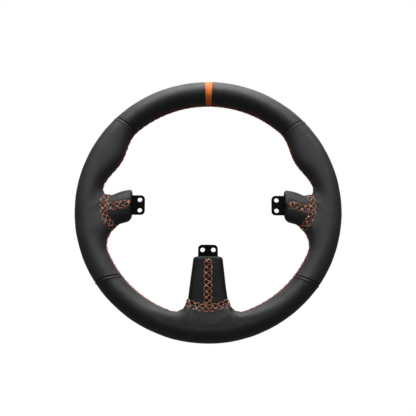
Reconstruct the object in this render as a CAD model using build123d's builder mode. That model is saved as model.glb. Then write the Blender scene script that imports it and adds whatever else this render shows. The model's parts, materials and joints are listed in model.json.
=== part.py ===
from build123d import *
import os
from math import cos, pi, radians, sin, sqrt

# A leather-wrapped wheel rim: a ring with three short spokes, each ending in a steel tab with two bolt holes.
# Millimetres. The origin is the centre of the ring. +Y is the wheel's axis and points away from the driver,
# +Z points at the centre stripe, and +X is the driver's right. Angles run clockwise from the stripe.

# Ring
outer_radius = 150.0
section_half_width = 13.95
section_half_depth = 15.0
ring_radius = outer_radius - section_half_width
inner_radius = ring_radius - section_half_width

# Thumb rests, where the ring swells towards the centre
thumb_height = 8.7
thumb_angle = 61.0
thumb_half_span = 19.0
thumb_sections = 9

# Spokes: half their thickness, the rounding of their edges, and where they end
spoke_half_depth = 8.5
spoke_edge_radius = 5.0
side_spoke_end = 86.0
bottom_spoke_end = 56.0

# Outlines of the right and bottom spokes, seen from the front as (x, z). Each starts at the spoke's end and
# closes inside the ring. The crotches are the corners to round, each with its radius.
side_outline = [
    (side_spoke_end, 21.6),
    (117.0, 13.3),
    (119.4, 40.0),
    (134.0, 40.0),
    (134.0, -58.0),
    (113.4, -58.0),
    (116.5, -22.6),
    (side_spoke_end, -12.9),
]
side_crotches = [((117.0, 13.3), 9.0), ((116.5, -22.6), 28.0)]
bottom_outline = [
    (16.0, -bottom_spoke_end),
    (23.8, -116.4),
    (52.0, -114.4),
    (52.0, -132.0),
    (-52.0, -132.0),
    (-52.0, -114.4),
    (-23.8, -116.4),
    (-16.0, -bottom_spoke_end),
]
bottom_crotches = [((23.8, -116.4), 15.5), ((-23.8, -116.4), 15.5)]

# Steel armature: a tube bent to a hoop, and a flat plate welded to it for each spoke
hoop_radius = 6.0
hoop_wall = 1.5
plate_thickness = 3.0
plate_width = 22.0
plate_corner_radius = 4.5
side_plate_axis = 4.0
side_plate_end = 71.3
bottom_plate_end = 41.2
hole_radius = 2.65
hole_spacing = 12.0
hole_inset = 5.6
weld_leg = 3.0
weld_half_angle = 4.0

# Leather, and the thread that stands out of it in bands
leather = 1.2
thread = 0.7
lacing_half_width = 2.2
base_row_half_width = 3.3
centre_row_half_width = 4.0
row_gap = 0.5
side_row_start = 87.5
side_row_rise = 4.0
bottom_row_start = 57.0

# Seams across the ring, each as the angle at its outer edge and at its inner edge
stripe_seam = (1.8, 1.8)
upper_seam = (44.5, 42.3)
lower_seam = (122.4, 125.7)

# Seams round the spokes, where a sleeve meets the rim leather: circles seen from the front
side_base_centre = (84.7, 1.5)
side_base_radius = 33.0
bottom_base_centre = (0.0, -68.7)
bottom_base_radius = 41.6

# Cutting shapes reach this far
region_depth = 25.0
region_radius = 200.0


def ring_point(angle, radius):
    """The point (x, z) at an angle and a radius, seen from the front."""
    return Vector(radius * sin(radians(angle)), radius * cos(radians(angle)))


def ring_plane(angle):
    """The section plane of the ring at an angle: local x points outwards, local y along the wheel's axis."""
    outwards = Vector(sin(radians(angle)), 0, cos(radians(angle)))
    return Plane(outwards * ring_radius, x_dir=outwards, z_dir=outwards.cross(Vector(0, 1, 0)))


def thumb_swell(angle):
    """How far the thumb rest stands towards the centre at an angle."""
    share = min(abs(angle - thumb_angle) / thumb_half_span, 1.0)
    return thumb_height * cos(share * pi / 2) ** 2


def ring_body(inset):
    """The ring with its thumb rests, drawn inset inside the finished surface."""
    width, depth = section_half_width - inset, section_half_depth - inset
    start, finish = thumb_angle - thumb_half_span, thumb_angle + thumb_half_span
    with BuildPart() as body:
        with BuildSketch(ring_plane(0)):
            Ellipse(width, depth)
        revolve(axis=Axis.Y, revolution_arc=start)
        with BuildSketch(ring_plane(finish)):
            Ellipse(width, depth)
        revolve(axis=Axis.Y, revolution_arc=180 - finish)
        for step in range(thumb_sections):
            angle = start + (finish - start) * step / (thumb_sections - 1)
            with BuildSketch(ring_plane(angle)):
                with BuildLine():
                    EllipticalCenterArc((0, 0), width, depth, -90, arc_size=180)
                    EllipticalCenterArc((0, 0), width + thumb_swell(angle), depth, 90, arc_size=180)
                make_face()
        loft()
        mirror(about=Plane.YZ)
    return body.part


def spoke_body(outline, crotches, inset):
    """A spoke with rounded edges, drawn inset inside the finished surface."""
    with BuildPart() as body:
        with BuildSketch(Plane.XZ) as profile:
            with BuildLine():
                Polyline(*outline, close=True)
            make_face()
            for corner, radius in crotches:
                fillet(profile.vertices().sort_by_distance((*corner, 0))[0], radius)
            offset(amount=-inset, kind=Kind.INTERSECTION)
        extrude(amount=spoke_half_depth - inset, both=True)
        fillet(body.faces().filter_by(Axis.Y).edges(), spoke_edge_radius - inset)
    return body.part


def spoke_bodies(inset):
    """The right, left and bottom spokes, drawn inset inside the finished surface."""
    right = spoke_body(side_outline, side_crotches, inset)
    return right, mirror(right, about=Plane.YZ), spoke_body(bottom_outline, bottom_crotches, inset)


def panel_outline(first, last):
    """A front outline that holds one leather panel of the ring, from its first seam to its last."""
    edges = []
    for outer_angle, inner_angle in (first, last):
        outer, inner = ring_point(outer_angle, outer_radius), ring_point(inner_angle, inner_radius)
        edges.append([inner * 2 - outer, outer * 2 - inner])
    far_angles = [first[0] + (last[0] - first[0]) * quarter / 4 for quarter in (1, 2, 3)]
    far_corners = [ring_point(angle, region_radius) for angle in far_angles]
    return [*edges[0], *far_corners, *reversed(edges[1])]


def weld_beads(angle):
    """The bead on the front and on the back of a plate, where it meets the hoop at an angle."""
    face = plate_thickness / 2
    top = face + weld_leg
    corner, crest = -sqrt(hoop_radius**2 - face**2), -sqrt(hoop_radius**2 - top**2)
    with BuildPart() as beads:
        with BuildSketch(ring_plane(angle - weld_half_angle)):
            with BuildLine():
                Polyline((corner, face), (corner - weld_leg, face), (crest, top), close=True)
            make_face()
        revolve(axis=Axis.Y, revolution_arc=2 * weld_half_angle)
        add(hoop_envelope.part, mode=Mode.SUBTRACT)
        mirror(about=Plane.XZ)
    return beads.part


os.makedirs("parts", exist_ok=True)

# Envelopes that the pieces are cut from
ring_outer = ring_body(0)
ring_inner = ring_body(leather)
right_outer, left_outer, bottom_outer = spoke_bodies(0)
right_inner, left_inner, bottom_inner = spoke_bodies(leather)
right_thread, left_thread, bottom_thread = spoke_bodies(-thread)

with BuildPart() as hoop_envelope:
    with BuildSketch(ring_plane(0)):
        Circle(hoop_radius)
    revolve(axis=Axis.Y)

with BuildPart() as ring_leather:
    add(ring_outer)
    add([ring_inner, right_inner, left_inner, bottom_inner], mode=Mode.SUBTRACT)

with BuildPart() as lacing_band:
    add(ring_body(-thread))
    add([ring_outer, right_thread, left_thread, bottom_thread], mode=Mode.SUBTRACT)
    with BuildSketch(Plane.XZ):
        Circle(ring_radius)
    extrude(amount=lacing_half_width, both=True, mode=Mode.INTERSECT)

# Steel armature
with BuildPart() as rim_hoop:
    add(hoop_envelope.part)
    with BuildSketch(ring_plane(0)):
        Circle(hoop_radius - hoop_wall)
    revolve(axis=Axis.Y, mode=Mode.SUBTRACT)

with BuildPart() as right_spoke_plate:
    with BuildSketch(Plane.XZ) as profile:
        with Locations((side_plate_end, side_plate_axis)):
            Rectangle(ring_radius - side_plate_end, plate_width, align=(Align.MIN, Align.CENTER))
        fillet(profile.vertices().group_by(Axis.X)[0], plate_corner_radius)
        with Locations((side_plate_end + hole_inset, side_plate_axis)):
            with GridLocations(0, hole_spacing, 1, 2):
                Circle(hole_radius, mode=Mode.SUBTRACT)
    extrude(amount=plate_thickness / 2, both=True)
    add(hoop_envelope.part, mode=Mode.SUBTRACT)

with BuildPart() as left_spoke_plate:
    mirror(right_spoke_plate.part, about=Plane.YZ)

with BuildPart() as bottom_spoke_plate:
    with BuildSketch(Plane.XZ) as profile:
        with Locations((0, -bottom_plate_end)):
            Rectangle(plate_width, ring_radius - bottom_plate_end, align=(Align.CENTER, Align.MAX))
        fillet(profile.vertices().group_by(Axis.Y)[-1], plate_corner_radius)
        with Locations((0, -bottom_plate_end - hole_inset)):
            with GridLocations(hole_spacing, 0, 2, 1):
                Circle(hole_radius, mode=Mode.SUBTRACT)
    extrude(amount=plate_thickness / 2, both=True)
    add(hoop_envelope.part, mode=Mode.SUBTRACT)

with BuildPart() as spoke_welds:
    side_angle = 90 - side_plate_axis / ring_radius * 180 / pi
    for angle in (side_angle, 180, 360 - side_angle):
        add(weld_beads(angle))

# Foam, moulded over the armature
with BuildPart() as foam_core:
    add([ring_inner, right_inner, left_inner, bottom_inner])
    add(hoop_envelope.part, mode=Mode.SUBTRACT)
    plates = [right_spoke_plate.part, left_spoke_plate.part, bottom_spoke_plate.part]
    add([*plates, spoke_welds.part], mode=Mode.SUBTRACT)

# Leather panels of the ring
with BuildPart() as centre_stripe:
    add(ring_leather.part)
    with BuildSketch(Plane.XZ):
        with BuildLine():
            Polyline(*panel_outline([-angle for angle in stripe_seam], stripe_seam), close=True)
        make_face()
    extrude(amount=region_depth, both=True, mode=Mode.INTERSECT)

with BuildPart() as top_right_leather:
    add(ring_leather.part)
    with BuildSketch(Plane.XZ):
        with BuildLine():
            Polyline(*panel_outline(stripe_seam, upper_seam), close=True)
        make_face()
    extrude(amount=region_depth, both=True, mode=Mode.INTERSECT)

with BuildPart() as top_left_leather:
    mirror(top_right_leather.part, about=Plane.YZ)

with BuildPart() as right_grip_leather:
    add(ring_leather.part)
    with BuildSketch(Plane.XZ):
        with BuildLine():
            Polyline(*panel_outline(upper_seam, lower_seam), close=True)
        make_face()
    extrude(amount=region_depth, both=True, mode=Mode.INTERSECT)

with BuildPart() as left_grip_leather:
    mirror(right_grip_leather.part, about=Plane.YZ)

with BuildPart() as bottom_leather:
    add(ring_leather.part)
    with BuildSketch(Plane.XZ):
        with BuildLine():
            Polyline(*panel_outline(lower_seam, [360 - angle for angle in lower_seam]), close=True)
        make_face()
    extrude(amount=region_depth, both=True, mode=Mode.INTERSECT)

# Leather sleeves of the spokes, slotted for the plates
with BuildPart() as right_spoke_sleeve:
    add(right_outer)
    add([right_inner, ring_outer, right_spoke_plate.part], mode=Mode.SUBTRACT)

with BuildPart() as left_spoke_sleeve:
    mirror(right_spoke_sleeve.part, about=Plane.YZ)

with BuildPart() as bottom_spoke_sleeve:
    add(bottom_outer)
    add([bottom_inner, ring_outer, bottom_spoke_plate.part], mode=Mode.SUBTRACT)

# Lacing round the inside of the ring, one thread between each pair of spokes
with BuildPart() as top_lacing:
    add(lacing_band.part)
    with BuildSketch(Plane.XZ):
        Rectangle(2 * region_radius, region_radius, align=(Align.CENTER, Align.MIN))
    extrude(amount=region_depth, both=True, mode=Mode.INTERSECT)

with BuildPart() as lower_right_lacing:
    add(lacing_band.part)
    with BuildSketch(Plane.XZ):
        Rectangle(region_radius, region_radius, align=(Align.MIN, Align.MAX))
    extrude(amount=region_depth, both=True, mode=Mode.INTERSECT)

with BuildPart() as lower_left_lacing:
    mirror(lower_right_lacing.part, about=Plane.YZ)

# Stitching round each spoke, which joins its sleeve to the rim leather
with BuildPart() as right_base_stitching:
    add(right_thread)
    add([right_outer, ring_outer], mode=Mode.SUBTRACT)
    with BuildSketch(Plane.XZ):
        with Locations(side_base_centre):
            Circle(side_base_radius + base_row_half_width)
            Circle(side_base_radius - base_row_half_width, mode=Mode.SUBTRACT)
    extrude(amount=region_depth, both=True, mode=Mode.INTERSECT)

with BuildPart() as left_base_stitching:
    mirror(right_base_stitching.part, about=Plane.YZ)

with BuildPart() as bottom_base_stitching:
    add(bottom_thread)
    add([bottom_outer, ring_outer], mode=Mode.SUBTRACT)
    with BuildSketch(Plane.XZ):
        with Locations(bottom_base_centre):
            Circle(bottom_base_radius + base_row_half_width)
            Circle(bottom_base_radius - base_row_half_width, mode=Mode.SUBTRACT)
    extrude(amount=region_depth, both=True, mode=Mode.INTERSECT)

# Stitching that closes each sleeve along the front of its spoke
with BuildPart() as right_centre_stitching:
    row_finish = side_base_centre[0] + side_base_radius - base_row_half_width - row_gap
    start_axis, finish_axis = side_plate_axis + side_row_rise / 2, side_plate_axis - side_row_rise / 2
    with BuildSketch(Plane.XZ.offset(spoke_half_depth)):
        with BuildLine():
            Polyline(
                (side_row_start, start_axis + centre_row_half_width),
                (row_finish, finish_axis + centre_row_half_width),
                (row_finish, finish_axis - centre_row_half_width),
                (side_row_start, start_axis - centre_row_half_width),
                close=True,
            )
        make_face()
    extrude(amount=thread)

with BuildPart() as left_centre_stitching:
    mirror(right_centre_stitching.part, about=Plane.YZ)

with BuildPart() as bottom_centre_stitching:
    row_finish = bottom_base_centre[1] - bottom_base_radius + base_row_half_width + row_gap
    with BuildSketch(Plane.XZ.offset(spoke_half_depth)):
        with Locations((0, -bottom_row_start)):
            Rectangle(2 * centre_row_half_width, -bottom_row_start - row_finish, align=(Align.CENTER, Align.MAX))
    extrude(amount=thread)

rim_hoop.part.label = "rim_hoop"
export_step(rim_hoop.part, "parts/rim_hoop.step")
right_spoke_plate.part.label = "right_spoke_plate"
export_step(right_spoke_plate.part, "parts/right_spoke_plate.step")
left_spoke_plate.part.label = "left_spoke_plate"
export_step(left_spoke_plate.part, "parts/left_spoke_plate.step")
bottom_spoke_plate.part.label = "bottom_spoke_plate"
export_step(bottom_spoke_plate.part, "parts/bottom_spoke_plate.step")
spoke_welds.part.label = "spoke_welds"
export_step(spoke_welds.part, "parts/spoke_welds.step")
foam_core.part.label = "foam_core"
export_step(foam_core.part, "parts/foam_core.step")
centre_stripe.part.label = "centre_stripe"
export_step(centre_stripe.part, "parts/centre_stripe.step")
top_right_leather.part.label = "top_right_leather"
export_step(top_right_leather.part, "parts/top_right_leather.step")
top_left_leather.part.label = "top_left_leather"
export_step(top_left_leather.part, "parts/top_left_leather.step")
right_grip_leather.part.label = "right_grip_leather"
export_step(right_grip_leather.part, "parts/right_grip_leather.step")
left_grip_leather.part.label = "left_grip_leather"
export_step(left_grip_leather.part, "parts/left_grip_leather.step")
bottom_leather.part.label = "bottom_leather"
export_step(bottom_leather.part, "parts/bottom_leather.step")
right_spoke_sleeve.part.label = "right_spoke_sleeve"
export_step(right_spoke_sleeve.part, "parts/right_spoke_sleeve.step")
left_spoke_sleeve.part.label = "left_spoke_sleeve"
export_step(left_spoke_sleeve.part, "parts/left_spoke_sleeve.step")
bottom_spoke_sleeve.part.label = "bottom_spoke_sleeve"
export_step(bottom_spoke_sleeve.part, "parts/bottom_spoke_sleeve.step")
top_lacing.part.label = "top_lacing"
export_step(top_lacing.part, "parts/top_lacing.step")
lower_right_lacing.part.label = "lower_right_lacing"
export_step(lower_right_lacing.part, "parts/lower_right_lacing.step")
lower_left_lacing.part.label = "lower_left_lacing"
export_step(lower_left_lacing.part, "parts/lower_left_lacing.step")
right_base_stitching.part.label = "right_base_stitching"
export_step(right_base_stitching.part, "parts/right_base_stitching.step")
left_base_stitching.part.label = "left_base_stitching"
export_step(left_base_stitching.part, "parts/left_base_stitching.step")
bottom_base_stitching.part.label = "bottom_base_stitching"
export_step(bottom_base_stitching.part, "parts/bottom_base_stitching.step")
right_centre_stitching.part.label = "right_centre_stitching"
export_step(right_centre_stitching.part, "parts/right_centre_stitching.step")
left_centre_stitching.part.label = "left_centre_stitching"
export_step(left_centre_stitching.part, "parts/left_centre_stitching.step")
bottom_centre_stitching.part.label = "bottom_centre_stitching"
export_step(bottom_centre_stitching.part, "parts/bottom_centre_stitching.step")
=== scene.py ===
import json
import math

import bpy
import numpy as np
from mathutils import Matrix, Vector


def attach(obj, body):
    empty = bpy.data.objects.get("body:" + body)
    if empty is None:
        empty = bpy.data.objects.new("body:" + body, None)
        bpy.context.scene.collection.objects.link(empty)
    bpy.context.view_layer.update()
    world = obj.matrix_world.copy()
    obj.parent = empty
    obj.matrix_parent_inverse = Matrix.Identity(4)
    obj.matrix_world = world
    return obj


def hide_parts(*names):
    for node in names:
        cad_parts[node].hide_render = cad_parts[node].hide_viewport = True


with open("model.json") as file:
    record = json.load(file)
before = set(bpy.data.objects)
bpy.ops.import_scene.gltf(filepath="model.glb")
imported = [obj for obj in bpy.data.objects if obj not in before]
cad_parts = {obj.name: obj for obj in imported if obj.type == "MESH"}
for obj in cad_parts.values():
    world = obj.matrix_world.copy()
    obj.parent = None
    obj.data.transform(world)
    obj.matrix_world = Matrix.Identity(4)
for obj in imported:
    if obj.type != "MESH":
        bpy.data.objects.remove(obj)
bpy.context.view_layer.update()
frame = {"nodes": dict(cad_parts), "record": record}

MM = 0.001

# ------------------------------------------------------------------ the wheel's form, in millimetres
# +Y runs away from the driver, +Z to the stripe, +X to the driver's right.  Ring angles run
# clockwise from the stripe, in degrees.

RING_RADIUS = 136.05                 # the grip section's centre circle
HALF_WIDTH = 13.95                   # the section's half width in the ring's plane
HALF_DEPTH = 15.0                    # and along the wheel's axis
THUMB_ANGLE, THUMB_SPAN, THUMB_HEIGHT = 61.0, 19.0, 8.7
THUMB_SQUARENESS, FOOT_SQUARENESS = 0.9, 2.6    # added to the section's power of 2
LEATHER = 1.2

SIDE_END, BOTTOM_END = 85.6, 55.4    # where the sleeves' ends stand, from the wheel's axis
SIDE_HALF_DEPTH, SIDE_POWER = 10.6, 2.3
SIDE_FLAT = 17.6                     # how far inside its outline a side spoke is at its thickest
BOTTOM_HALF_DEPTH, BOTTOM_GAIN, BOTTOM_POWER = 12.2, 2.5, 4.5
UPPER_CROTCH, LOWER_CROTCH, FOOT_CROTCH = 19.0, 28.0, 17.5     # radii of the corners beside the spokes

SIDE_SEAM = (83.9, 1.3, 32.5)        # base seam of a side spoke: circle centre x, z, radius
BOTTOM_SEAM = (0.0, -71.0, 41.6)
# Seams across the ring, as the angle at its outer edge and at its inner edge
STRIPE_EDGE, STRIPE_LEFT = (1.8, 1.5), (-1.8, -1.5)
UPPER_RIGHT, LOWER_RIGHT = (46.8, 44.7), (125.0, 128.0)
UPPER_LEFT, LOWER_LEFT = (-45.3, -43.2), (-123.7, -127.9)


def smooth(low, high, v):
    t = np.clip((v - low) / (high - low), 0.0, 1.0)
    return t * t * (3 - 2 * t)


def round_and(a, b, r):
    """Intersection of two fields with its edge rounded to radius r."""
    return np.minimum(-r, np.maximum(a, b)) + np.hypot(np.maximum(a + r, 0), np.maximum(b + r, 0))


def round_or(a, b, r):
    """Union of two fields with its inner corner filled to radius r."""
    return np.maximum(r, np.minimum(a, b)) - np.hypot(np.maximum(r - a, 0), np.maximum(r - b, 0))


def section(across, deep, half_width, half_depth, power):
    """Field of a superelliptic section, roughly the distance outside it."""
    a, d = np.abs(across) / half_width + 1e-6, np.abs(deep) / half_depth + 1e-6
    k = (a**power + d**power) ** (1 / power)
    steep = np.hypot((a / k) ** (power - 1) / half_width, (d / k) ** (power - 1) / half_depth)
    return (k - 1) / steep


def bottom_half_width(down):
    """Half width of the bottom spoke: 16.2 at 56 below the wheel's axis, widening to the ring."""
    return 16.2 + 7.9 * (down - 56) / 66.6


def form(p):
    """Below zero inside the wheel's leather surface, above zero outside it, roughly in mm."""
    x, y, z = np.abs(p[..., 0]), p[..., 1], p[..., 2]
    u = np.hypot(x, z) - RING_RADIUS
    off = np.clip(np.abs(np.degrees(np.arctan2(x, z)) - THUMB_ANGLE) / THUMB_SPAN, 0, 1)
    thumb = np.where(u > 0, 0.0, np.cos(np.pi / 2 * off) ** 2)
    rim_edge = np.abs(u) - HALF_WIDTH - THUMB_HEIGHT * thumb
    from_foot = np.degrees(np.arctan2(x, -z))
    near_foot = np.where(u > 0, 0.0, 1 - smooth(8, 36, from_foot))
    # distances outside the spokes' outlines; both edges of a side spoke fall towards the ring,
    # and the factors just under 1 turn heights over a slanting edge into distances
    out = x - 90
    up = (z - 21.1 + 0.13 * out + 0.0115 * out * out) * 0.96
    low = -(z + 15.1 + 0.28 * out) * 0.96
    flank = np.maximum(up, low)
    wide = np.maximum(bottom_half_width(-z), 12.0)
    foot = (x - wide) * 0.993
    # the ring's inner side swells to fill the corners beside the spokes
    swell = rim_edge
    side_crotch = UPPER_CROTCH + (LOWER_CROTCH - UPPER_CROTCH) * smooth(-20, 20, low - up)
    for edge, crotch, tail in ((flank, side_crotch, 10.0),
                               (foot + np.maximum(z + 70, 0), FOOT_CROTCH, 6.0)):
        near = (edge + np.hypot(edge, 1.2)) / 2
        filled = round_or(rim_edge, near, crotch) + 12 * smooth(crotch - 2, crotch + tail, rim_edge)
        swell = np.where(u < 0, np.minimum(swell, filled), swell)
    power = 2 + THUMB_SQUARENESS * thumb + FOOT_SQUARENESS * near_foot
    body = section(u, y, np.maximum(np.abs(u) - swell, 4.0), HALF_DEPTH, power)
    side = section(SIDE_FLAT + np.maximum(flank, -SIDE_FLAT), y, SIDE_FLAT, SIDE_HALF_DEPTH, SIDE_POWER)
    side = round_and(round_and(side, SIDE_END - x, np.where(up > low, 2.8, 6.0)), u + 2, 3)
    run = np.clip((-z - 56) / 73, 0, 1)
    bottom = section(x, y, wide, BOTTOM_HALF_DEPTH + BOTTOM_GAIN * run, BOTTOM_POWER)
    bottom = round_and(round_and(bottom, z + BOTTOM_END, 3.2), u + 2, 3)
    # the joins are filled on the faces, and left sharp where the outlines already meet in a curve
    face = smooth(2, 9, np.abs(y))
    body = round_or(body, side, 0.05 + (1.2 + 4 * smooth(-9, 0, flank)) * face)
    return round_or(body, bottom, 0.05 + (0.7 + 5 * smooth(-6, 1, foot)) * face)


PROBE = 0.05                         # step of the form's gradient


def gradient(p):
    """The form's gradient at p, by central differences."""
    return np.stack([form(p + PROBE * e) - form(p - PROBE * e) for e in np.eye(3)], -1) / (2 * PROBE)


def slope(p):
    """Unit outward normal of the form at p."""
    g = gradient(p)
    return g / np.linalg.norm(g, axis=-1, keepdims=True)


def settle(p, times=3):
    """Moves points onto the form's surface."""
    for _ in range(times):
        g = gradient(p)
        p = p - (form(p) / np.maximum((g**2).sum(-1), 0.05))[..., None] * g
    return p


def cast(origin, direction, reach=60.0):
    """Point where each ray first leaves the form, found in strides and then by bisection."""
    stride, far = 4.0, np.full(origin.shape[:-1], reach)
    for distance in np.arange(reach, 3.0, -stride):
        far = np.where(form(origin + distance * direction) > 0, distance, far)
    near = np.maximum(far - stride, 0.0)
    for _ in range(14):
        middle = (near + far) / 2
        inside = form(origin + middle[..., None] * direction) < 0
        near, far = np.where(inside, middle, near), np.where(inside, far, middle)
    return origin + ((near + far) / 2)[..., None] * direction


def ring_ray(theta, phi):
    """Ray from the section's centre: phi is 0 inwards, 90 to the driver, 180 outwards."""
    t, f = np.radians(theta), np.radians(phi)
    radial = np.stack([np.sin(t), np.zeros_like(t), np.cos(t)], -1)
    axial = np.stack([np.zeros_like(t), -np.ones_like(t), np.zeros_like(t)], -1)
    return RING_RADIUS * radial, -radial * np.cos(f)[..., None] + axial * np.sin(f)[..., None]


def ring_surface(theta, phi):
    """Points of the ring's own section, without the spokes."""
    centre, direction = ring_ray(theta, phi)
    off = np.clip(np.abs(np.abs(theta) - THUMB_ANGLE) / THUMB_SPAN, 0, 1)
    thumb = np.where(np.cos(np.radians(phi)) > 0, np.cos(np.pi / 2 * off) ** 2, 0.0)
    power = 2 + THUMB_SQUARENESS * thumb
    across = np.abs(np.cos(np.radians(phi))) / (HALF_WIDTH + THUMB_HEIGHT * thumb)
    deep = np.abs(np.sin(np.radians(phi))) / HALF_DEPTH
    reach = (across**power + deep**power) ** (-1 / power)
    return centre + reach[..., None] * direction


# ------------------------------------------------------------------ mesh tools

def graded(low, high, spacing):
    """Values from low to high whose steps follow spacing(value)."""
    fine = np.linspace(low, high, 4000)
    density = 1 / spacing((fine[1:] + fine[:-1]) / 2)
    count = np.concatenate([[0], np.cumsum(density) * (fine[1] - fine[0])])
    steps = int(math.ceil(count[-1]))
    return np.interp(np.linspace(0, count[-1], steps + 1), count, fine)


def grid_faces(rows, columns, wrap=False):
    """Quads of a grid of points stored row by row; wrap joins its last column to its first."""
    index = np.arange(rows * columns).reshape(rows, columns)
    if wrap:
        index = np.concatenate([index, index[:, :1]], 1)
    a, b, c, d = index[:-1, :-1], index[:-1, 1:], index[1:, 1:], index[1:, :-1]
    return np.stack([a, b, c, d], -1).reshape(-1, 4)


def trim(points, faces, keep):
    """Cuts the mesh along keep = 0 and drops the side where it is negative."""
    good = keep >= 0
    inside = good[faces]
    whole = [list(f) for f in faces[inside.all(1)]]
    extra, made = [], {}
    for face in faces[inside.any(1) & ~inside.all(1)]:
        cut = []
        for a, b in zip(face, np.roll(face, -1)):
            if good[a]:
                cut.append(int(a))
            if good[a] != good[b]:
                key = (min(a, b), max(a, b))
                if key not in made:
                    made[key] = len(points) + len(extra)
                    t = keep[key[0]] / (keep[key[0]] - keep[key[1]])
                    extra.append(points[key[0]] * (1 - t) + points[key[1]] * t)
                cut.append(made[key])
        if len(cut) > 2:
            whole.append(cut)
    points = np.concatenate([points, np.array(extra)]) if extra else points
    used = np.unique(np.concatenate([np.array(f) for f in whole]))
    place = np.full(len(points), -1)
    place[used] = np.arange(len(used))
    return points[used], [[int(place[i]) for i in f] for f in whole]


def facing_out(points, faces):
    """The faces, all turned over if they look into the form."""
    sample = faces[:: max(1, len(faces) // 400)]
    corner = np.array([[points[f[k]] for k in range(3)] for f in sample])
    across = np.cross(corner[:, 1] - corner[:, 0], corner[:, 2] - corner[:, 0])
    turned = (across * slope(corner.mean(1))).sum() < 0
    return [f[::-1] for f in faces] if turned else faces


def run_along(line):
    """Distance along the line to each of its points."""
    return np.concatenate([[0], np.cumsum(np.linalg.norm(np.diff(line, axis=0), axis=1))])


def make_piece(name, points, faces, material, slot, node):
    """A mesh object in the row frame that stands for the CAD node."""
    mesh = bpy.data.meshes.new(name)
    mesh.from_pydata((points * MM).tolist(), [], faces)
    mesh.polygons.foreach_set("use_smooth", [True] * len(mesh.polygons))
    mesh.materials.append(material)
    piece = bpy.data.objects.new(name, mesh)
    bpy.context.scene.collection.objects.link(piece)
    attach(piece, "root")
    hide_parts(node)
    return piece


# ------------------------------------------------------------------ rows of stitches

STRAND_POINTS = 15                   # points along each visible stretch of thread


class Row:
    """A row of stitches along a line on the leather."""

    def __init__(self, line, half_width, pitch, closed=False):
        line = settle(np.asarray(line, float))
        self.line = np.concatenate([line, line[:1]]) if closed else line
        self.run = run_along(self.line)
        self.length, self.closed, self.half = self.run[-1], closed, half_width
        self.count = max(2, int(round(self.length / pitch)))
        self.pitch = self.length / self.count

    def on_line(self, along):
        along = np.mod(along, self.length) if self.closed else np.clip(along, 0, self.length)
        return np.stack([np.interp(along, self.run, self.line[:, k]) for k in range(3)], -1)

    def at(self, along, across, height=0.0):
        """Points on the leather beside the row's line, raised by height, and their normals."""
        along, across = np.broadcast_arrays(np.asarray(along, float), np.asarray(across, float))
        tangent = self.on_line(along + 1.5) - self.on_line(along - 1.5)
        tangent /= np.linalg.norm(tangent, axis=-1, keepdims=True)
        point = self.on_line(along)
        steps = 3
        for _ in range(steps):
            side = np.cross(tangent, slope(point))
            side /= np.linalg.norm(side, axis=-1, keepdims=True)
            point = settle(point + (across / steps)[..., None] * side, 2)
        normal = slope(point)
        return point + np.asarray(height)[..., None] * normal, normal

    def strand(self, low, span, sign, crossing, thread, raised):
        """Where one strand runs, as (along, across, height), or None if the row's end cuts it short.
        A crossing strand runs from edge to edge, and the others turn round the row's edge."""
        first, last = 0.0, 1.0
        if not self.closed:
            first = max(0.0, (0.3 - low) / span)
            last = min(1.0, (self.length - 0.8 - low) / span)
        if last - first < 0.4:
            return None
        t = np.linspace(0, 1, STRAND_POINTS)
        arch = np.sin(np.pi * t) ** 0.5
        q = first + (last - first) * t
        if crossing:
            across = sign * self.half * (1 - 2 * smooth(-0.18, 1.18, q)) / 0.86
            across = np.clip(across, -self.half, self.half)
            height = thread * (0.85 - 0.5 * sign * np.sin(3 * np.pi * q))
        else:
            across = sign * (self.half + 0.45 * thread * np.sin(np.pi * q))
            height = thread * 0.5
        return low + span * q, across, (height + raised) * arch - 0.9 * (1 - arch)

    def paths(self, thread, tapered, raised):
        """The strands of a flat plait, as (points, normals) of each visible stretch."""
        p = self.pitch
        out = []
        for n in range(self.count) if self.closed else range(-2, self.count + 1):
            for start, sign in ((n * p, -1.0), ((n + 0.5) * p, 1.0)):
                for low, span, crossing in ((start + 0.2 * p, 1.1 * p, True),
                                            (start - 0.24 * p, 0.48 * p, False)):
                    strand = self.strand(low, span, sign, crossing, thread, raised)
                    if strand is None:
                        continue
                    along, across, height = strand
                    if tapered:
                        across = across * (1 - 0.4 * smooth(self.length - 6, self.length - 1, along))
                    out.append(self.at(along, across, height))
        return out

    def bars(self, where, wraps, thread):
        """Wraps of thread laid straight across the row."""
        out = []
        t = np.linspace(0, 1, STRAND_POINTS)
        arch = np.sin(np.pi * t) ** 0.4
        for k in range(wraps):
            along = np.full_like(t, where + k * thread * 0.95) + 0.15 * np.sin(2.1 * k + 3 * t)
            across = self.half * 0.66 * (1 - 2 * t)
            out.append(self.at(along, across, thread * 0.62 * arch - 0.8 * (1 - arch)))
        return out

    def on_leather(self, along, across):
        """Points of the row that lie on the leather, without those past its ends."""
        fits = (along > 0) & (along < self.length)
        return self.at(along[fits], across[fits])[0]

    def holes(self):
        """Centres of the stitch holes."""
        n = np.arange(self.count + 1) * self.pitch
        quarter = 0.22 * self.pitch
        left = np.concatenate([n - quarter, n + quarter])
        across = np.concatenate([-np.ones_like(left), np.ones_like(left)]) * self.half
        return self.on_leather(np.concatenate([left, left + self.pitch / 2]), across)

    def swells(self, out_by):
        """Centres of the leather's small swells between the holes, beside the row."""
        n = (np.arange(self.count + 1) + 0.5) * self.pitch
        across = np.concatenate([-np.ones_like(n), np.ones_like(n)]) * (self.half + out_by)
        return self.on_leather(np.concatenate([n, n + self.pitch / 2]), across)


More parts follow.
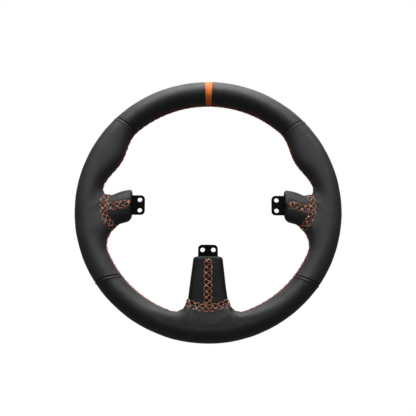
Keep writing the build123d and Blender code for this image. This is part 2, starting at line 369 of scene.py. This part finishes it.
def tube(paths, radius, sides=8):
    """Points, faces and UVs of round threads that follow the paths."""
    points, faces, uvs, base = [], [], [], 0
    turn = np.linspace(0, 2 * np.pi, sides, endpoint=False)
    for line, normal in paths:
        tangent = np.gradient(line, axis=0)
        tangent /= np.linalg.norm(tangent, axis=1, keepdims=True)
        side = np.cross(tangent, normal)
        side /= np.linalg.norm(side, axis=1, keepdims=True)
        up = np.cross(side, tangent)
        rings = line[:, None] + radius * (side[:, None] * np.cos(turn)[None, :, None]
                                          + up[:, None] * np.sin(turn)[None, :, None])
        count = len(line)
        points.append(rings.reshape(-1, 3))
        faces += (grid_faces(count, sides, wrap=True) + base).tolist()
        faces += [list(range(base, base + sides)),
                  list(range(base + count * sides - 1, base + (count - 1) * sides - 1, -1))]
        run = run_along(line)
        for i in range(count - 1):
            for k in range(sides):
                uvs += [(run[i], k / sides), (run[i], (k + 1) / sides),
                        (run[i + 1], (k + 1) / sides), (run[i + 1], k / sides)]
        uvs += [(0.0, 0.0)] * (2 * sides)
        base += count * sides
    return np.concatenate(points), faces, uvs


# ------------------------------------------------------------------ materials

def new_material(name):
    material = bpy.data.materials.new(name)
    material.use_nodes = True
    nodes = material.node_tree.nodes
    nodes.clear()
    output = nodes.new("ShaderNodeOutputMaterial")
    shader = nodes.new("ShaderNodeBsdfPrincipled")
    material.node_tree.links.new(shader.outputs[0], output.inputs[0])
    return material, nodes, material.node_tree.links, shader


def ramp(nodes, links, source, stops):
    """Colour ramp fed by source; stops are (position, grey or colour)."""
    node = nodes.new("ShaderNodeValToRGB")
    links.new(source, node.inputs[0])
    elements = node.color_ramp.elements
    while len(elements) < len(stops):
        elements.new(0.5)
    for element, (position, value) in zip(elements, stops):
        element.position = position
        colour = value if hasattr(value, "__len__") else (value,) * 3
        element.color = (*colour, 1)
    return node.outputs[0]


def noise(nodes, links, coordinate, scale, detail=3.0, rough=0.55):
    node = nodes.new("ShaderNodeTexNoise")
    node.inputs["Scale"].default_value = scale
    node.inputs["Detail"].default_value = detail
    node.inputs["Roughness"].default_value = rough
    links.new(coordinate, node.inputs["Vector"])
    return node.outputs["Fac"]


def bump(nodes, links, height, distance, strength=1.0, under=None):
    node = nodes.new("ShaderNodeBump")
    node.inputs["Strength"].default_value = strength
    node.inputs["Distance"].default_value = distance
    links.new(height, node.inputs["Height"])
    if under is not None:
        links.new(under, node.inputs["Normal"])
    return node.outputs[0]


def leather_material(name, dark, light, rough, grain=0.00019, cell=0.0010, shine=0.5):
    """Smooth grained leather: fine creases round small cells, over broad soft unevenness."""
    material, nodes, links, shader = new_material(name)
    place = nodes.new("ShaderNodeTexCoord").outputs["Object"]
    warp = nodes.new("ShaderNodeTexNoise")
    warp.inputs["Scale"].default_value = 420
    links.new(place, warp.inputs["Vector"])
    bend = nodes.new("ShaderNodeVectorMath")
    bend.operation = "MULTIPLY_ADD"
    links.new(warp.outputs["Color"], bend.inputs[0])
    bend.inputs[1].default_value = (0.0009,) * 3
    links.new(place, bend.inputs[2])
    cells = nodes.new("ShaderNodeTexVoronoi")
    cells.feature = "DISTANCE_TO_EDGE"
    cells.inputs["Scale"].default_value = 1 / cell
    links.new(bend.outputs[0], cells.inputs["Vector"])
    creases = ramp(nodes, links, cells.outputs["Distance"], [(0.0, 0.0), (0.16, 0.75), (0.5, 1.0)])
    broad = noise(nodes, links, place, 34, 4)
    patches = noise(nodes, links, place, 95, 5)
    links.new(ramp(nodes, links, patches, [(0.32, dark), (0.72, light)]), shader.inputs["Base Color"])
    links.new(ramp(nodes, links, broad, [(0.3, rough - 0.05), (0.7, rough + 0.06)]),
              shader.inputs["Roughness"])
    soft = bump(nodes, links, broad, 0.0009, 0.35)
    fine = bump(nodes, links, creases, grain, 0.6, soft)
    links.new(fine, shader.inputs["Normal"])
    shader.inputs["Specular IOR Level"].default_value = shine
    return material


def thread_material(name, stops):
    """Waxed thread: two plies twisted round each other, with painted shade in the grooves between them,
    and with lengths of painted highlight (cream) and painted shade (dark red) over its orange-red.
    """
    material, nodes, links, shader = new_material(name)
    coordinates = nodes.new("ShaderNodeTexCoord")
    place, along = coordinates.outputs["Object"], coordinates.outputs["UV"]
    skew = nodes.new("ShaderNodeVectorMath")
    skew.operation = "DOT_PRODUCT"
    links.new(along, skew.inputs[0])
    skew.inputs[1].default_value = (1.5, 2.0, 0.0)
    plies = nodes.new("ShaderNodeMath")
    plies.operation = "PINGPONG"
    links.new(skew.outputs["Value"], plies.inputs[0])
    plies.inputs[1].default_value = 0.5
    # noise that sets the lengths of painted highlight (cream) and painted shade (dark red) along the
    # thread
    painted_light_noise = noise(nodes, links, place, 620, 2)
    colour = ramp(nodes, links, painted_light_noise, stops)
    # painted shade: the colour is darkened in the grooves between the two plies
    shade = ramp(nodes, links, plies.outputs[0], [(0.0, 0.45), (0.22, 1.0)])
    mix = nodes.new("ShaderNodeMix")
    mix.data_type, mix.blend_type = "RGBA", "MULTIPLY"
    mix.inputs["Factor"].default_value = 1.0
    links.new(colour, mix.inputs["A"])
    links.new(shade, mix.inputs["B"])
    links.new(mix.outputs["Result"], shader.inputs["Base Color"])
    links.new(bump(nodes, links, plies.outputs[0], 0.0003, 0.7), shader.inputs["Normal"])
    shader.inputs["Roughness"].default_value = 0.38
    shader.inputs["Specular IOR Level"].default_value = 0.4
    return material


def coated_steel_material():
    """Fine matt powder coat with a slight orange-peel surface, paler where it is rubbed."""
    material, nodes, links, shader = new_material("black_powder_coat")
    place = nodes.new("ShaderNodeTexCoord").outputs["Object"]
    peel = noise(nodes, links, place, 1500, 3)
    cloud = noise(nodes, links, place, 60, 5)
    coat = [(0.3, (0.0008, 0.0008, 0.0009)), (0.75, (0.0018, 0.0018, 0.0020))]
    links.new(ramp(nodes, links, cloud, coat), shader.inputs["Base Color"])
    links.new(ramp(nodes, links, cloud, [(0.3, 0.5), (0.7, 0.62)]), shader.inputs["Roughness"])
    shader.inputs["Specular IOR Level"].default_value = 0.06
    links.new(bump(nodes, links, peel, 0.00012, 0.5), shader.inputs["Normal"])
    return material


def bare_steel_material():
    material, nodes, links, shader = new_material("drawn_steel")
    place = nodes.new("ShaderNodeTexCoord").outputs["Object"]
    scratch = noise(nodes, links, place, 700, 6)
    links.new(ramp(nodes, links, scratch, [(0.3, 0.28), (0.7, 0.42)]), shader.inputs["Base Color"])
    links.new(ramp(nodes, links, scratch, [(0.3, 0.3), (0.7, 0.5)]), shader.inputs["Roughness"])
    shader.inputs["Metallic"].default_value = 1.0
    return material


def foam_material():
    material, nodes, links, shader = new_material("moulded_foam")
    place = nodes.new("ShaderNodeTexCoord").outputs["Object"]
    pores = noise(nodes, links, place, 900, 4)
    links.new(ramp(nodes, links, pores, [(0.35, 0.035), (0.7, 0.08)]), shader.inputs["Base Color"])
    links.new(bump(nodes, links, pores, 0.0003, 0.8), shader.inputs["Normal"])
    shader.inputs["Roughness"].default_value = 0.85
    return material


SLEEVE_DARK, SLEEVE_LIGHT = (0.0055, 0.0058, 0.0070), (0.0095, 0.0100, 0.0120)
rim_leather = leather_material("black_rim_leather", (0.0065, 0.0067, 0.0074),
                               (0.010, 0.0103, 0.0113), 0.395)
grip_leather = leather_material("black_grip_leather", (0.018, 0.0183, 0.0200),
                                (0.026, 0.0264, 0.0286), 0.50)
sleeve_leather = leather_material("black_sleeve_leather", SLEEVE_DARK, SLEEVE_LIGHT, 0.42)
foot_leather = leather_material("black_foot_leather", SLEEVE_DARK, SLEEVE_LIGHT, 0.42, shine=0.22)
orange_leather = leather_material("orange_stripe_leather", (0.90, 0.175, 0.022),
                                  (1.0, 0.235, 0.036), 0.46, shine=0.3)
# the orange thread: its cream stop is a painted highlight and its darkest stop is painted shade
plait_thread = thread_material("thread_orange", [
    (0.37, (0.13, 0.006, 0.003)), (0.46, (0.56, 0.07, 0.016)),
    (0.53, (0.80, 0.24, 0.07)), (0.60, (1.0, 0.82, 0.60))])
# the same orange thread, darker and redder with fewer cream lengths, for the lacing: painted shade, as
# the lacing lies in the shade on the ring's inner side
lacing_thread_painted_shade = thread_material("thread_orange_painted_shade", [
    (0.37, (0.10, 0.005, 0.003)), (0.48, (0.55, 0.045, 0.014)),
    (0.57, (0.72, 0.12, 0.04)), (0.70, (0.95, 0.55, 0.33))])
finishes = {"tab_steel": coated_steel_material(), "hoop_steel": bare_steel_material(),
            "foam": foam_material()}
for part in frame["record"]["subparts"]:
    if part["material_slot"] in finishes:
        mesh = frame["nodes"][part["node"]].data
        mesh.materials.clear()
        mesh.materials.append(finishes[part["material_slot"]])

# ------------------------------------------------------------------ the rows of stitches

THREAD = 0.66                        # a strand's diameter


def seam_outside(p):
    """Distance outside the spokes' base seams, in the plane of the ring."""
    side = np.hypot(np.abs(p[:, 0]) - SIDE_SEAM[0], p[:, 2] - SIDE_SEAM[1]) - SIDE_SEAM[2]
    bottom = np.hypot(p[:, 0], p[:, 2] - BOTTOM_SEAM[1]) - BOTTOM_SEAM[2]
    return np.minimum(side, bottom)


def arc_line(low, high, count=260):
    """The laced slit on the ring's inner side, from angle low to high, outside the base seams."""
    theta = np.radians(np.linspace(low, high, count))
    radius = RING_RADIUS - HALF_WIDTH
    line = settle(radius * np.stack([np.sin(theta), 0 * theta, np.cos(theta)], -1), 10)
    return line[seam_outside(line) > 2.0]


def seam_loop(seam, outward, count=200):
    """The base seam round a spoke: where its cylinder leaves the leather surface."""
    x0, z0, radius = seam
    centre = math.atan2(outward[0], outward[1])
    turn = np.linspace(0, 2 * np.pi, count, endpoint=False)
    near, far = np.zeros(count), np.full(count, 45.0)

    def on_seam(reach):
        beta = centre + reach * np.cos(turn) / radius
        x, z = x0 + radius * np.sin(beta), z0 + radius * np.cos(beta)
        return np.stack([x, reach * np.sin(turn), z], -1)

    for _ in range(24):
        middle = (near + far) / 2
        inside = form(on_seam(middle)) < 0
        near, far = np.where(inside, middle, near), np.where(inside, far, middle)
    return on_seam(near)


def front_line(points, count=80):
    """A line through the points (x, z), on the driver's side of the surface."""
    points = np.array(points, float)
    run = run_along(points)
    s = np.linspace(0, run[-1], count)
    flat = np.stack([np.interp(s, run, points[:, k]) for k in (0, 1)], -1)
    for _ in range(6):
        flat[1:-1] = (flat[:-2] + 2 * flat[1:-1] + flat[2:]) / 4
    origin = np.stack([flat[:, 0], np.zeros(count), flat[:, 1]], -1)
    return cast(origin, np.broadcast_to([0.0, -1.0, 0.0], origin.shape), 20)


RIGHT_ROW = [(114.4, -1.9), (105, -0.9), (97, 1.7), (90.0, 3.8)]
LEFT_ROW = [(-116, 0.4), (-105, 0.7), (-97, 2.6), (-87.0, 4.4)]
BOTTOM_ROW = [(0.2, -111.5), (0.2, -57.4)]
LEFT_SEAM = (-SIDE_SEAM[0], *SIDE_SEAM[1:])
SUNK, PROUD = -0.12, 0.05            # how high the base rows and the other rows lie
# Each row's line, half width and rough pitch
rows = {
    "top_lacing": Row(arc_line(-84, 84), 3.0, 7.5),
    "lower_right_lacing": Row(arc_line(99, 173), 3.0, 7.5),
    "lower_left_lacing": Row(arc_line(-173, -99), 3.0, 7.5),
    "right_base_stitching": Row(seam_loop(SIDE_SEAM, (1, -0.12)), 3.6, 6.6, closed=True),
    "left_base_stitching": Row(seam_loop(LEFT_SEAM, (-1, -0.12)), 3.6, 6.6, closed=True),
    "bottom_base_stitching": Row(seam_loop(BOTTOM_SEAM, (0, -1)), 3.7, 6.7, closed=True),
    "right_centre_stitching": Row(front_line(RIGHT_ROW), 3.9, 6.9),
    "left_centre_stitching": Row(front_line(LEFT_ROW), 3.9, 6.9),
    "bottom_centre_stitching": Row(front_line(BOTTOM_ROW), 4.0, 6.9),
}
for name, row in rows.items():
    paths = row.paths(THREAD, "centre" in name, SUNK if "base" in name else PROUD)
    if "centre" in name:
        paths += row.bars(row.length - 2.4, 2 if "bottom" in name else 4, THREAD)
    points, faces, uvs = tube(paths, THREAD / 2)
    finish = lacing_thread_painted_shade if "lacing" in name else plait_thread
    piece = make_piece(name + "_thread", points, faces, finish, "thread", name)
    layer = piece.data.uv_layers.new(name="run")
    layer.data.foreach_set("uv", np.array(uvs, np.float32).ravel())

# ------------------------------------------------------------------ leather

def seam_angle(pair, phi):
    """Ring angle of a cross seam, which leans from its outer to its inner angle."""
    return pair[0] + (pair[1] - pair[0]) * (1 + np.cos(np.radians(phi))) / 2


def within(points, centres, reach, far, measure):
    """measure(squared distances to all centres) for the points within reach of them, else far."""
    total = np.full(len(points), far)
    low, high = centres.min(0) - reach, centres.max(0) + reach
    inside = np.flatnonzero(((points > low) & (points < high)).all(1))
    chunk = 4000                     # points at a time, to spare memory
    for start in range(0, len(inside), chunk):
        some = inside[start:start + chunk]
        total[some] = measure(((points[some, None] - centres[None]) ** 2).sum(-1))
    return total


def bumps(points, centres, width):
    """Sum of soft bumps of that width round the centres, at the points."""
    return within(points, centres, 3 * width, 0.0, lambda gap: np.exp(-gap / width**2).sum(1))


def beside(points, line, reach=8.0):
    """Distance from each point to the line, where it is under the reach."""
    return within(points, line, reach, reach, lambda gap: np.minimum(np.sqrt(gap.min(1)), reach))


HOLE_DEPTH, HOLE_WIDTH = 0.3, 0.9
LACING_SWELL = (1.6, 0.25, 2.6)      # distance outside the row, height, width
SEAM_SWELL = (2.0, 0.16, 2.0)
CENTRE_DIP, CENTRE_WIDTH = 0.7, 0.8


def dressed(points, lift):
    """The points, raised by lift and by what the stitch holes, small swells and soft folds add."""
    normal = slope(points)
    lift = lift.copy()
    for name, row in rows.items():
        lift -= HOLE_DEPTH * bumps(points, row.holes(), HOLE_WIDTH)
        out_by, height, width = LACING_SWELL if "lacing" in name else SEAM_SWELL
        lift += height * bumps(points, row.swells(out_by), width)
        if "centre" in name:
            line = row.at(np.linspace(0, row.length, 160), np.zeros(160))[0]
            lift -= CENTRE_DIP * np.exp(-(beside(points, line) / CENTRE_WIDTH) ** 2)
    # a fold above each side spoke, and a faint unevenness everywhere
    x, y, z = points.T
    lift += 0.6 * np.exp(-((seam_outside(points) - 7.0) / 3.0) ** 2) * smooth(6, 16, z)
    lift += 0.07 * (np.sin(x * 0.21 + 1.3 * np.sin(z * 0.13)) * np.sin(z * 0.19 + y * 0.27)
                    + np.sin(x * 0.093 - z * 0.121 + y * 0.17))
    return points + lift[:, None] * normal


def leather_piece(name, points, faces, material, slot):
    """The leather's outer face with its thickness inwards, and the area of that face."""
    piece = make_piece(name + "_skin", points, facing_out(points, faces), material, slot, name)
    skin = piece.modifiers.new("thickness", "SOLIDIFY")
    skin.thickness = LEATHER * MM
    skin.offset = -1
    return piece, sum(face.area for face in piece.data.polygons)


CROTCH_ANGLES = np.array([-170.5, -102.5, -81.5, 81.5, 102.5, 170.5, 189.5])
MM_PER_DEGREE = 2.4                  # along the ring, at its centre circle
STRIPE_DIP, SEAM_DIP = 0.25, 0.85    # how deep the leather is pressed in at a cross seam
SLIT_DIP, BASE_DIP = 0.4, 0.25       # and at the laced slit and at the base seams


def ring_panel(name, start, end, edges, material=rim_leather, slot="rim_leather"):
    """Leather round the ring between two cross seams.  start and end are (outer, inner angle),
    and edges says for each how high the leather swells beside it and how deep it is pressed."""
    low, high = min(start), max(end)

    def spacing(theta):
        edge = np.minimum(theta - low, high - theta) * MM_PER_DEGREE
        crotch = np.abs(theta[:, None] - CROTCH_ANGLES[None]).min(1) * MM_PER_DEGREE
        step = np.interp(edge, [0, 2, 4], [0.35, 0.45, 1.0])
        return step * np.interp(crotch, [2, 8], [0.45, 1.0]) / MM_PER_DEGREE

    def turn_spacing(phi):
        from_slit = np.minimum(phi, 360 - phi)
        return np.interp(from_slit, [0, 12, 40, 60], [0.4, 0.55, 0.6, 1.0]) / 0.25

    share = (graded(low, high, spacing) - low) / (high - low)
    phi = graded(0.0, 360.0, turn_spacing)
    first, last = seam_angle(start, phi)[:, None], seam_angle(end, phi)[:, None]
    theta = first + (last - first) * share[None]
    points = cast(*ring_ray(theta, np.broadcast_to(phi[:, None], theta.shape))).reshape(-1, 3)
    points, faces = trim(points, grid_faces(len(phi), len(share)), seam_outside(points))

    radius = np.hypot(points[:, 0], points[:, 2])
    around = np.degrees(np.arctan2(-points[:, 1], RING_RADIUS - radius)) % 360
    angle = np.degrees(np.arctan2(points[:, 0], points[:, 2]))
    angle = np.where(angle < low - 5, angle + 360, angle)
    lift = np.zeros(len(points))
    for pair, sign, (swell, dip) in ((start, 1, edges[0]), (end, -1, edges[1])):
        gap = np.maximum(sign * (angle - seam_angle(pair, around)), 0) * math.pi / 180 * radius
        lift -= dip * ((1 - smooth(-0.6, 1.1, gap)) + 0.35 * (1 - smooth(0, 0.35, gap)))
        lift += swell * np.exp(-((gap - 2.0) / 1.1) ** 2)
    from_base = seam_outside(points)
    slit = np.minimum(around, 360 - around) * math.pi / 180 * HALF_WIDTH
    lift -= SLIT_DIP * np.exp(-(slit / 0.8) ** 2) * smooth(2, 8, from_base)
    lift -= BASE_DIP * np.exp(-(from_base / 0.8) ** 2)
    return leather_piece(name, dressed(points, lift), faces, material, slot)


AT_STRIPE, FLAT = (0.12, STRIPE_DIP), (0.0, SEAM_DIP)
GRIP_TOP, GRIP_FOOT, BELOW_GRIP = (0.35, SEAM_DIP), (0.1, SEAM_DIP), (0.6, SEAM_DIP)
ROUND_TO_LEFT = tuple(360 + angle for angle in LOWER_LEFT)
panels = {
    "centre_stripe": (STRIPE_LEFT, STRIPE_EDGE, (AT_STRIPE, AT_STRIPE), orange_leather, "stripe_leather"),
    "top_right_leather": (STRIPE_EDGE, UPPER_RIGHT, (AT_STRIPE, FLAT)),
    "right_grip_leather": (UPPER_RIGHT, LOWER_RIGHT, (GRIP_TOP, GRIP_FOOT), grip_leather),
    "bottom_leather": (LOWER_RIGHT, ROUND_TO_LEFT, (BELOW_GRIP, BELOW_GRIP)),
    "left_grip_leather": (LOWER_LEFT, UPPER_LEFT, (GRIP_FOOT, GRIP_TOP), grip_leather),
    "top_left_leather": (UPPER_LEFT, STRIPE_LEFT, (FLAT, AT_STRIPE)),
}
SECTION_GIRTH, TURNED_IN, OUTER_RADIUS = 0.091, 0.0025, 0.150     # in metres
for name, (start, end, *rest) in panels.items():
    piece, area = ring_panel(name, start, end, *rest)
    length = math.radians(end[0] - start[0]) * OUTER_RADIUS + TURNED_IN
    min(area, SECTION_GIRTH * length)


AROUND = 181                         # points round a sleeve
TAB_HALF_WIDTH, TAB_HALF_DEPTH = 11.0, 1.6
END_LENGTH = 12.0                    # the sleeve's end is cast from a point this far inside it


def sleeve(name, end_at, base_at, axis_at, tab_centre, place, leather):
    """Leather sleeve of a spoke, from its base on the ring to the edge of its tab.  place(s, a, y)
    gives the row-frame point at s along the spoke, a across it and y in depth, and axis_at(s) is
    the spoke's middle line."""
    turn = np.linspace(-90, 270, AROUND) * math.pi / 180
    across, deep = np.sin(turn + math.pi / 2), -np.cos(turn + math.pi / 2)
    rings = []
    for s in np.linspace(base_at, end_at + END_LENGTH, 70):
        at = np.full(AROUND, s)
        origin = place(at, np.full(AROUND, axis_at(s)), np.zeros(AROUND))
        rings.append(cast(origin, place(at, axis_at(s) + across, deep) - origin, 70))
    # the end: rays from one point turn from straight out to the edge of the tab
    pivot = end_at + END_LENGTH
    at = np.full(AROUND, pivot)
    origin = place(at, np.full(AROUND, axis_at(pivot)), np.zeros(AROUND))
    tiny = 1e-9
    wide = np.abs(across / np.where(np.abs(deep) < tiny, tiny, deep)) * TAB_HALF_DEPTH
    tall = np.abs(deep / np.where(np.abs(across) < tiny, tiny, across)) * TAB_HALF_WIDTH
    edge_a = tab_centre + TAB_HALF_WIDTH * np.sign(across) * np.minimum(1, wide / TAB_HALF_WIDTH)
    edge_y = TAB_HALF_DEPTH * np.sign(deep) * np.minimum(1, tall / TAB_HALF_DEPTH)
    start = place(at, axis_at(pivot) + across, deep) - origin
    goal = place(np.full(AROUND, end_at), edge_a, edge_y) - origin
    goal /= np.linalg.norm(goal, axis=1, keepdims=True)
    for t in np.linspace(0, 1, 46)[1:]:
        aim = start * math.cos(t * math.pi / 2) + goal * math.sin(t * math.pi / 2)
        rings.append(cast(origin, aim / np.linalg.norm(aim, axis=1, keepdims=True), 40))
    points = np.concatenate(rings)
    points, faces = trim(points, grid_faces(len(rings), AROUND), -seam_outside(points))
    lift = -BASE_DIP * np.exp(-(seam_outside(points) / 0.8) ** 2)
    return leather_piece(name, dressed(points, lift), faces, leather, "sleeve_leather")


def side_sleeve(name, sign):
    def place(s, a, y):
        return np.stack([sign * s, y, a], -1)
    return sleeve(name, 86.0, 119.0, lambda s: 4.35 - (s - 86) * 0.294, 4.0, place, sleeve_leather)


def bottom_sleeve(name):
    def place(s, a, y):
        return np.stack([a, y, -s], -1)
    return sleeve(name, 56.0, 112.5, lambda s: 0.0, 0.0, place, foot_leather)


for piece, area in (side_sleeve("right_spoke_sleeve", 1), side_sleeve("left_spoke_sleeve", -1),
                    bottom_sleeve("bottom_spoke_sleeve")):
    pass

# ------------------------------------------------------------------ foam under the leather

FOAM_DEPTH = 2.1                     # below the leather's outer face
FOAM_END = 130.0                     # the spokes' foam runs this far, into the ring's
TURNS, STATIONS = 48, 360            # points round a section, and sections round the ring


def side_foam(s):
    """Middle, half width, half depth and power of a side spoke's section at s along it."""
    top, low = 21.6 - (s - 86) * 0.2686, -12.6 - (s - 86) * 0.29
    return (top + low) / 2, (top - low) / 2, SIDE_HALF_DEPTH, SIDE_POWER


def bottom_foam(s):
    """The same of the bottom spoke's section."""
    return 0.0, bottom_half_width(s), 9.6 + 5.0 * min(1, (s - 56) / 73), BOTTOM_POWER


def spoke_shell(foam, start, stations, place):
    """Closed shell of a spoke's foam, slimmer at its start, where the sleeve turns in."""
    turn = np.linspace(0, 2 * np.pi, TURNS + 1)[:-1]
    c, d = np.cos(turn), np.sin(turn)
    rings = []
    for s in np.linspace(start, FOAM_END, stations):
        middle, half, deep, power = foam(s)
        inset = FOAM_DEPTH / 0.35**0.5 if s == start else FOAM_DEPTH
        across, tall = np.abs(c) / (half - inset), np.abs(d) / (deep - inset)
        size = (across**power + tall**power) ** (-1 / power)
        rings.append(place(np.full(TURNS, s), middle + size * c, size * d))
    faces = grid_faces(stations, TURNS, wrap=True).tolist()
    faces += [list(range(TURNS))[::-1], list(range((stations - 1) * TURNS, stations * TURNS))]
    return np.concatenate(rings), faces


def foam_shells():
    """Closed shells of the ring and the three spokes, below the leather by FOAM_DEPTH."""
    theta, phi = np.meshgrid(np.linspace(-180, 180, STATIONS + 1)[:-1],
                             np.linspace(0, 360, TURNS + 1)[:-1], indexing="ij")
    surface, (centre, _) = ring_surface(theta, phi), ring_ray(theta, phi)
    reach = np.linalg.norm(surface - centre, axis=-1)
    ring = centre + (surface - centre) * (1 - FOAM_DEPTH / reach)[..., None]
    faces = grid_faces(STATIONS + 1, TURNS, wrap=True) % (STATIONS * TURNS)
    return [(ring.reshape(-1, 3), faces.tolist()),
            spoke_shell(side_foam, 87.8, 24, lambda s, a, y: np.stack([s, y, a], -1)),
            spoke_shell(side_foam, 87.8, 24, lambda s, a, y: np.stack([-s, y, a], -1)),
            spoke_shell(bottom_foam, 57.8, 40, lambda s, a, y: np.stack([a, y, -s], -1))]


def joined_shells(shells):
    """The shells as one list of points and one of faces."""
    points, faces, base = [], [], 0
    for shell_points, shell_faces in shells:
        points.append(shell_points)
        faces += [[i + base for i in face] for face in shell_faces]
        base += len(shell_points)
    return np.concatenate(points), faces


foam = make_piece("moulded_foam_body", *joined_shells(foam_shells()), finishes["foam"],
                  "foam", "foam_core")
fusing = foam.modifiers.new("one_body", "REMESH")
fusing.mode, fusing.voxel_size = "VOXEL", 1.8 * MM
fusing.use_smooth_shade = True

# ------------------------------------------------------------------ floor, light and camera

def stage_plane(name, size, height, grey):
    """A pale floor, gently domed so that it has no hard edge."""
    steps, dome = 48, 0.02
    axis = np.linspace(-size, size, steps)
    x, y = np.meshgrid(axis, axis)
    z = height - dome * (np.hypot(x, y) / size) ** 2
    mesh = bpy.data.meshes.new(name)
    points = np.stack([x, y, z], -1).reshape(-1, 3)
    mesh.from_pydata(points.tolist(), [], grid_faces(steps, steps).tolist())
    material, nodes, links, shader = new_material(name)
    place = nodes.new("ShaderNodeTexCoord").outputs["Object"]
    cloud = noise(nodes, links, place, 3)
    links.new(ramp(nodes, links, cloud, [(0.3, grey), (0.7, grey * 1.03)]), shader.inputs["Base Color"])
    shader.inputs["Roughness"].default_value = 0.9
    shader.inputs["Emission Color"].default_value = (1, 1, 1, 1)
    shader.inputs["Emission Strength"].default_value = 0.7
    mesh.materials.append(material)
    floor = bpy.data.objects.new(name, mesh)
    bpy.context.scene.collection.objects.link(floor)
    floor.visible_diffuse = floor.visible_glossy = False


def area_light(name, place, aim, width, height, power):
    light = bpy.data.lights.new(name, "AREA")
    light.shape, light.size, light.size_y = "RECTANGLE", width, height
    light.energy = power
    lamp = bpy.data.objects.new(name, light)
    bpy.context.scene.collection.objects.link(lamp)
    lamp.location = place
    lamp.rotation_euler = (Vector(aim) - Vector(place)).to_track_quat("-Z", "Y").to_euler()


stage_plane("floor", 4.0, -0.42, 0.75)
area_light("overhead", (0, -0.72, 1.5), (0, -0.42, 0), 1.25, 2.0, 55)
area_light("overhead_back", (0, 0.75, 1.35), (0, 0, 0.1), 1.8, 1.5, 10)
area_light("front_fill", (0, -2.6, 0.5), (0, 0, 0), 2.2, 1.4, 3)

# the background is white to the camera, and lights the wheel only faintly
world = bpy.data.worlds.new("studio")
bpy.context.scene.world = world
world.use_nodes = True
nodes, links = world.node_tree.nodes, world.node_tree.links
nodes.clear()
output = nodes.new("ShaderNodeOutputWorld")
seen, felt = nodes.new("ShaderNodeBackground"), nodes.new("ShaderNodeBackground")
seen.inputs[0].default_value, seen.inputs[1].default_value = (1, 1, 1, 1), 1.0
felt.inputs[0].default_value, felt.inputs[1].default_value = (0.95, 0.97, 1, 1), 0.15
path, blend = nodes.new("ShaderNodeLightPath"), nodes.new("ShaderNodeMixShader")
links.new(path.outputs["Is Camera Ray"], blend.inputs[0])
links.new(felt.outputs[0], blend.inputs[1])
links.new(seen.outputs[0], blend.inputs[2])
links.new(blend.outputs[0], output.inputs[0])

scene = bpy.context.scene
scene.view_settings.view_transform = "Standard"

CAMERA_RISE, CAMERA_AWAY, CAMERA_ROLL = math.radians(-12.35), 0.917, math.radians(0.24)
camera_data = bpy.data.cameras.new("camera")
camera_data.lens, camera_data.sensor_width = 70.53, 36.0
camera_data.shift_x, camera_data.shift_y = -0.0003, 0.00195
camera = bpy.data.objects.new("camera", camera_data)
scene.collection.objects.link(camera)
back = Vector((0, -math.cos(CAMERA_RISE), math.sin(CAMERA_RISE)))
camera.matrix_world = (Matrix.Translation(back * CAMERA_AWAY)
                       @ Matrix.Rotation(math.pi / 2 - CAMERA_RISE, 4, "X")
                       @ Matrix.Rotation(CAMERA_ROLL, 4, "Z"))
scene.camera = camera
